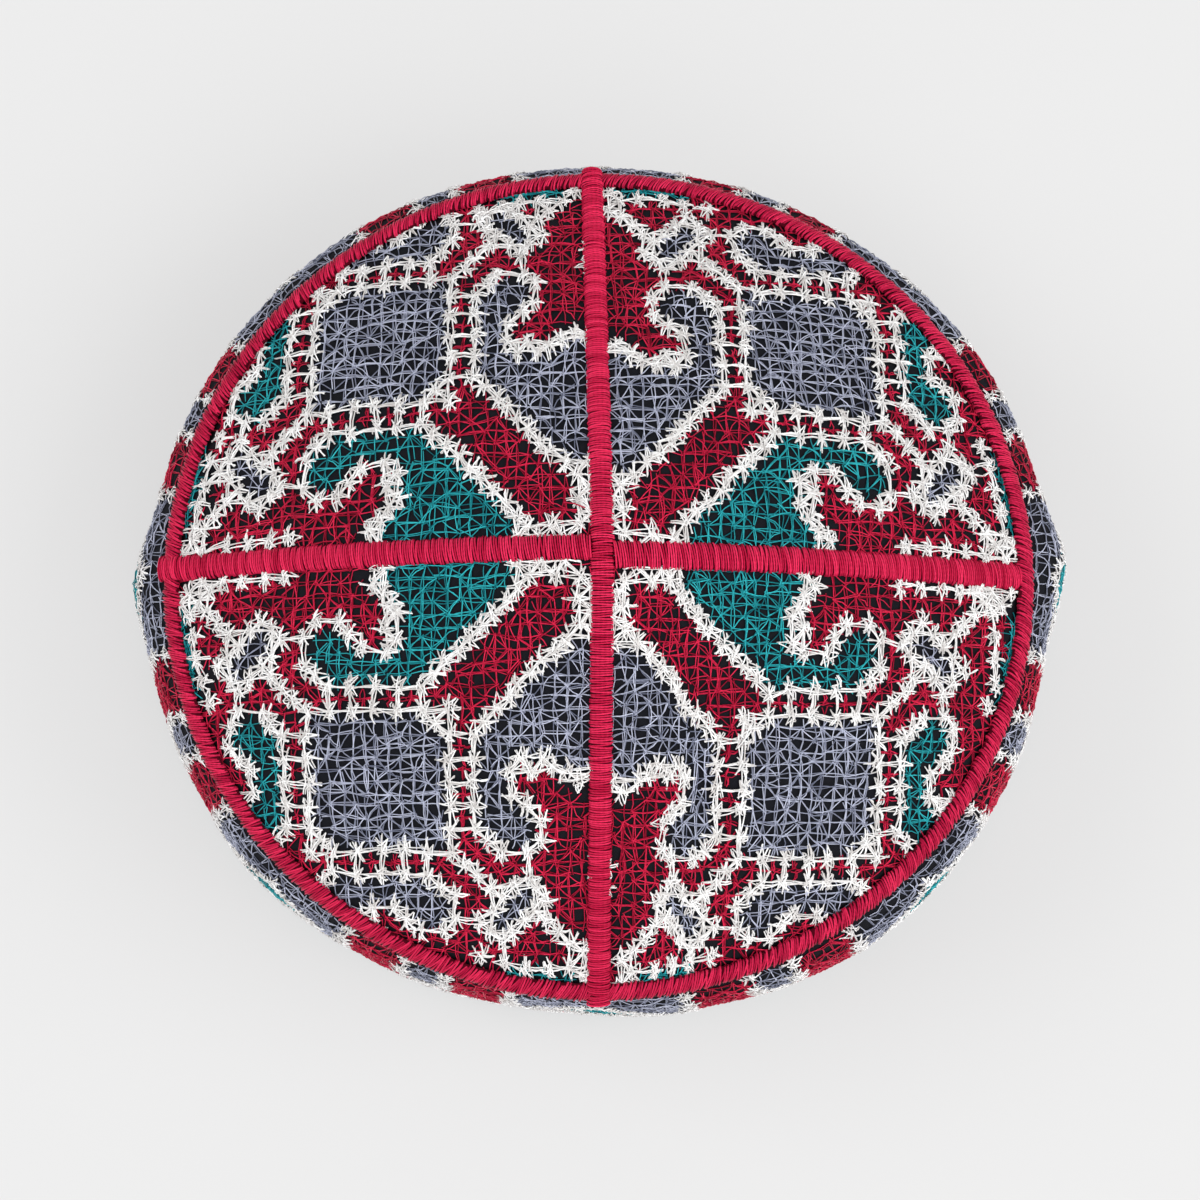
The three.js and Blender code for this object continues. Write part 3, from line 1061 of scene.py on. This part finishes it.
def crown_stitches(quarter, seed):
    """Laid stitches of a quarter by thread: points and ups, a start and an end in turn."""
    last_out = 1.01
    stars = scattered(crown_stars(quarter), seed)
    laid = lay_stitches(stars, CROWN_HABITS, seed)
    found = {}
    for thread, rows in laid.items():
        start, end = rows[:, :2], rows[:, 2:]
        out_start, out_end = (stitch_plan(quarter, place)[1] for place in (start, end))
        on_cloth = out_start < last_out
        start, end, out_start, out_end = (each[on_cloth] for each in (start, end, out_start, out_end))
        share = np.clip((last_out - out_start) / np.maximum(out_end - out_start, 1e-6), 0, 1)
        share = np.where(out_end > last_out, share, 1)
        end = start + (end - start) * share[:, None]
        plan = stitch_plan(quarter, np.stack([start, end], axis=1).reshape(-1, 2))[0]
        found[thread] = (on_crown(quarter, plan), crown_up(quarter, plan))
    return found


def band_stitches(seed):
    """Laid stitches of the side band by thread."""
    columns = BAND_REPEATS * REPEAT_STITCHES
    stars = {
        (column, row): (band_thread(column, row), column, row)
        for column in range(columns)
        for row in range(BAND_ROWS_OF_STARS)
        if (column + row) % 2 == 0
    }
    stars = scattered(stars, seed)
    found = {}
    for thread, rows in lay_stitches(stars, BAND_HABITS, seed, columns).items():
        chart = rows.reshape(-1, 2)
        degrees = chart[:, 0] * 360 / columns
        down = np.clip((chart[:, 1] + 0.5) * BAND_ROW_STEP / BAND_TOP, 0, LAST_STITCH_DOWN)
        turn, drop = 0.2, 0.02
        along = on_band(degrees + turn, down) - on_band(degrees - turn, down)
        below = on_band(degrees, np.minimum(down + drop, 1)) - on_band(degrees, np.maximum(down - drop, 0))
        up = np.cross(below, along)
        found[thread] = (on_band(degrees, down), up / np.linalg.norm(up, axis=-1, keepdims=True))
    return found


# A short end of red thread that sticks up behind and left of the crossing
LOOSE_END = {
    "quarter": "back_left",
    "run": [(1.9, 2.9), (3.1, 3.7), (1.9, 2.9), (3.3, 3.3)],
    "sizes": {"Start height": 0.9, "Lift": 0.9, "End height": 1.2},
}


def declared(made, node=None):
    """Tells the frame about a piece: its body and the node that it replaces."""
    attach(made, "root")
    if node:
        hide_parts(node)


def stitched(name, laid, tree, material, seed, sizes):
    """One thread's stitches as a piece."""
    points, ups = laid
    count = len(points)
    edges = [(i, i + 1) for i in range(0, count, 2)]
    bed = stitch_bed(name + "_bed", points, ups, edges, np.arange(count) % 2)
    given = {label: size * MM for label, size in sizes.items()}
    made = worked(name, bed, tree, given | {"Seed": seed, "Thread": material})
    declared(made)
    return made


def side_of(points, up, closed):
    """Sideways directions of a path, square to its way ahead and to up."""
    if closed:
        ahead = np.roll(points, -1, axis=0) - np.roll(points, 1, axis=0)
    else:
        ahead = np.gradient(points, axis=0)
    side = np.cross(ahead, up)
    return side / np.linalg.norm(side, axis=-1, keepdims=True)


def padding(name, points, up, half_width, half_height, closed, material):
    """The padding that satin thread is worked over: an oval run along a path."""
    facets = 16
    side = side_of(points, up, closed)
    turn = np.arange(facets) * 2 * np.pi / facets
    rings = (
        points[:, None, :]
        + side[:, None, :] * (half_width * np.cos(turn))[None, :, None]
        + up[:, None, :] * (half_height * np.sin(turn))[None, :, None]
    )
    count = len(points)
    faces = []
    for i in range(count if closed else count - 1):
        here, ahead = i * facets, (i + 1) % count * facets
        for k in range(facets):
            beside = (k + 1) % facets
            faces.append((here + k, here + beside, ahead + beside, ahead + k))
    if not closed:
        faces.append(tuple(reversed(range(facets))))
        faces.append(tuple((count - 1) * facets + k for k in range(facets)))
    made = piece(name, rings.reshape(-1, 3), [], faces, material)
    made.data.shade_smooth()
    return made


def seam_path(stops, over_ring):
    """Points and ups along a seam over the crown, a gap above the cloth. A bar that ends
    on top of the edge's ring climbs over it."""
    legs = [np.linspace(p, q, 60) for p, q in zip(stops, stops[1:])]
    plan = np.concatenate(legs[:1] + [leg[1:] for leg in legs[1:]])
    share = share_out(plan)
    points = np.concatenate([plan, crown_height(share)[:, None]], axis=-1)
    ahead = np.gradient(points, axis=0)
    level = np.stack([ahead[:, 1], -ahead[:, 0], np.zeros(len(ahead))], axis=-1)
    up = np.cross(level, ahead)
    up /= np.linalg.norm(up, axis=-1, keepdims=True)
    past_edge = (share - 1) * CROWN_HALF_WIDTH
    climb = smooth(past_edge, CLIMB_START, 0.0) * RING_CLIMB if over_ring else 0 * past_edge
    return points + up * (PIECE_GAP + climb[:, None]), up


def seam_end(angle, past):
    """A place so far past the crown's edge, where a bar ends under or on the ring."""
    return on_ellipse(math.radians(angle), CROWN_HALF_WIDTH + past, CROWN_HALF_DEPTH + past)


def edge_path():
    """Points and ups along the middle of the edge's ring."""
    count = 400
    angle = np.arange(count) * 2 * np.pi / count
    lean = math.sin(EDGE_SLOPE)
    rise = np.full(count, math.cos(EDGE_SLOPE))
    up = np.stack([lean * np.cos(angle), lean * np.sin(angle), rise], axis=-1)
    out = ROLL_OUT - RING_INSET
    plan = on_ellipse(angle, CROWN_HALF_WIDTH + out, CROWN_HALF_DEPTH + out)
    points = np.concatenate([plan, np.full((count, 1), BAND_HEIGHT + ROLL_UP)], axis=-1)
    return points - up * RING_LOWER, up


# Sizes of the satin bars: half their width and their height, how far round the arc each
# thread goes, how it leans and how uneven it lies
SATIN_WORKS = table(
    ("half_width", "half_height", "arc", "lean", "turn", "ragged"),
    {
        "crown_seam_front_back": (2.3, 1.35, (-20, 200), 2, 5, 0.08),
        "crown_seam_left": (2.6, 1.3, (-20, 200), 7, 5, 0.08),
        "crown_seam_right": (2.75, 1.3, (-20, 200), 7, 5, 0.08),
        "crown_edge_ring": (2.1, 1.15, (-50, 215), -26, 12, 0.13),
    },
)

# The ring lies a little lower and farther in than the solid roll does. The long bar and
# the left one climb onto it from inside the edge, and the right one ends under it
RING_LOWER = 0.2
RING_INSET = 0.6
RING_CLIMB = 1.1
CLIMB_START = -3.2
BAR_ANGLES = {"back": 90.9, "front": 270.0, "left": 179.4, "right": -0.6}
ON_RING = 2.6
UNDER_RING = 0.6

# How far the side bars reach under the long bar's edge, and how deep the padding lies
# under the face of the satin, as a share of the thread
BAR_OVERLAP = 0.05
PADDING_DEPTH = 0.85


def satin_work(node, work, path, tree, satin, under, seed):
    """Satin thread over its padding, along a path. Sizes are of the finished bar."""
    points, up = path
    count = len(points)
    closed = node == "crown_edge_ring"
    edges = [(i, (i + 1) % count) for i in range(count if closed else count - 1)]
    first, last = work["arc"]
    half = np.array([work["half_width"], work["half_height"]])
    radius = SATIN_THREAD / 2
    lengths = (SATIN_PITCH, *(half - radius), radius)
    angles = (first, last - first, work["lean"], work["turn"])
    sizes = {label: float(size * MM) for label, size in zip(SATIN_LENGTHS, lengths)}
    sizes |= {label: math.radians(size) for label, size in zip(SATIN_ANGLES, angles)}
    sizes |= {"Ragged": work["ragged"], "Seed": seed, "Thread": satin}
    threads = worked("satin_" + node, stitch_bed(node + "_bed", points, up, edges), tree, sizes)
    inner = half - PADDING_DEPTH * SATIN_THREAD
    # The padding's dark red, the material under, shows in the grooves between the satin threads as painted
    # shade.
    core = padding("padding_" + node, points, up, *inner, closed, under)
    return threads, core


# Seeds of the random draws: each group's first, and the steps within the groups
SEEDS = {"crown_chart": 10, "band_chart": 40, "loose_end": 60, "crown": 100, "band": 500, "satin": 900}
QUARTER_STEP = 40
THREAD_STEP = 9
BAR_STEP = 20


def all_threads(place, laid_by_thread, tree, threads, seed):
    """The stitches of one part of the cap, a piece for each thread."""
    made = []
    for turn, (thread, laid) in enumerate(laid_by_thread.items()):
        sizes = STITCH_SIZES["border" if thread == "white" else "fill"]
        name = f"stitches_{thread}_{place}"
        made.append(stitched(name, laid, tree, threads[thread], seed + THREAD_STEP * turn, sizes))
    return made


def make_crown(cloth, tree, threads):
    """The four quarters of the crown with their stitches."""
    for number, (quarter, row) in enumerate(QUARTERS.items()):
        laid = crown_stitches(quarter, SEEDS["crown_chart"] + number)
        made = all_threads(quarter, laid, tree, threads, SEEDS["crown"] + QUARTER_STEP * number)
        start, end = sorted((row["side"] % 360, row["upright"] % 360))
        if end - start > 180:
            start, end = end - 360, start
        panel = crown_cloth(quarter, start, end, cloth)
        declared(panel, "crown_panel_" + quarter)


def make_loose_end(tree, thread):
    quarter = LOOSE_END["quarter"]
    plan = stitch_plan(quarter, np.array(LOOSE_END["run"]))[0]
    laid = (on_crown(quarter, plan), crown_up(quarter, plan))
    sizes = STITCH_SIZES["border"] | LOOSE_END["sizes"]
    stitched("stitches_red_loose_end", laid, tree, thread, SEEDS["loose_end"], sizes)


def make_band(cloth, tree, threads):
    """The side band with its stitches."""
    laid = band_stitches(SEEDS["band_chart"])
    made = all_threads("side_band", laid, tree, threads, SEEDS["band"])
    band = band_cloth(cloth)
    declared(band, "side_band")


def make_satin():
    """The cross of satin bars and the ring at the crown's edge."""
    # The satin's colours go from deep to bright strand by strand, partly the thread's own uneven tone,
    # partly painted shade and painted highlight. The ring's satin is the bars' red made darker: painted
    # shade.
    satin = rayon_thread("rayon_satin_red", "#960a2c", "#d62c54", 0.26)
    ring_satin = rayon_thread("rayon_satin_red_painted_shade", "#86092a", "#cc2a50", 0.32)
    # The underlay is a dark red so that the grooves between the satin threads show dark: painted shade.
    underlay_painted_shade = rayon_thread("rayon_underlay_red_painted_shade", "#380610", "#5e0c1e", 0.6)
    tree = satin_tree()
    beside = SATIN_WORKS["crown_seam_front_back"]["half_width"] - BAR_OVERLAP
    back, front, left = (seam_end(BAR_ANGLES[side], ON_RING) for side in ("back", "front", "left"))
    right = seam_end(BAR_ANGLES["right"], UNDER_RING)
    paths = {
        "crown_seam_front_back": seam_path([back, CROSSING, front], True),
        "crown_seam_left": seam_path([CROSSING + (-beside, STAGGER), left], True),
        "crown_seam_right": seam_path([CROSSING + (beside, -STAGGER), right], False),
        "crown_edge_ring": edge_path(),
    }
    for number, (node, path) in enumerate(paths.items()):
        thread = ring_satin if node == "crown_edge_ring" else satin
        seed = SEEDS["satin"] + BAR_STEP * number
        threads, core = satin_work(node, SATIN_WORKS[node], path, tree, thread, underlay_painted_shade, seed)
        declared(threads)
        declared(core, node)


def make_cap():
    cloth = ground_cloth("woven_ground_cotton", "#06070c", "#101118")
    threads = {name: rayon_thread("rayon_thread_" + name, **row) for name, row in THREADS.items()}
    tree = laid_stitch_tree()
    make_crown(cloth, tree, threads)
    make_loose_end(tree, threads["red"])
    make_band(cloth, tree, threads)
    make_satin()


photo_camera()
studio()
make_cap()
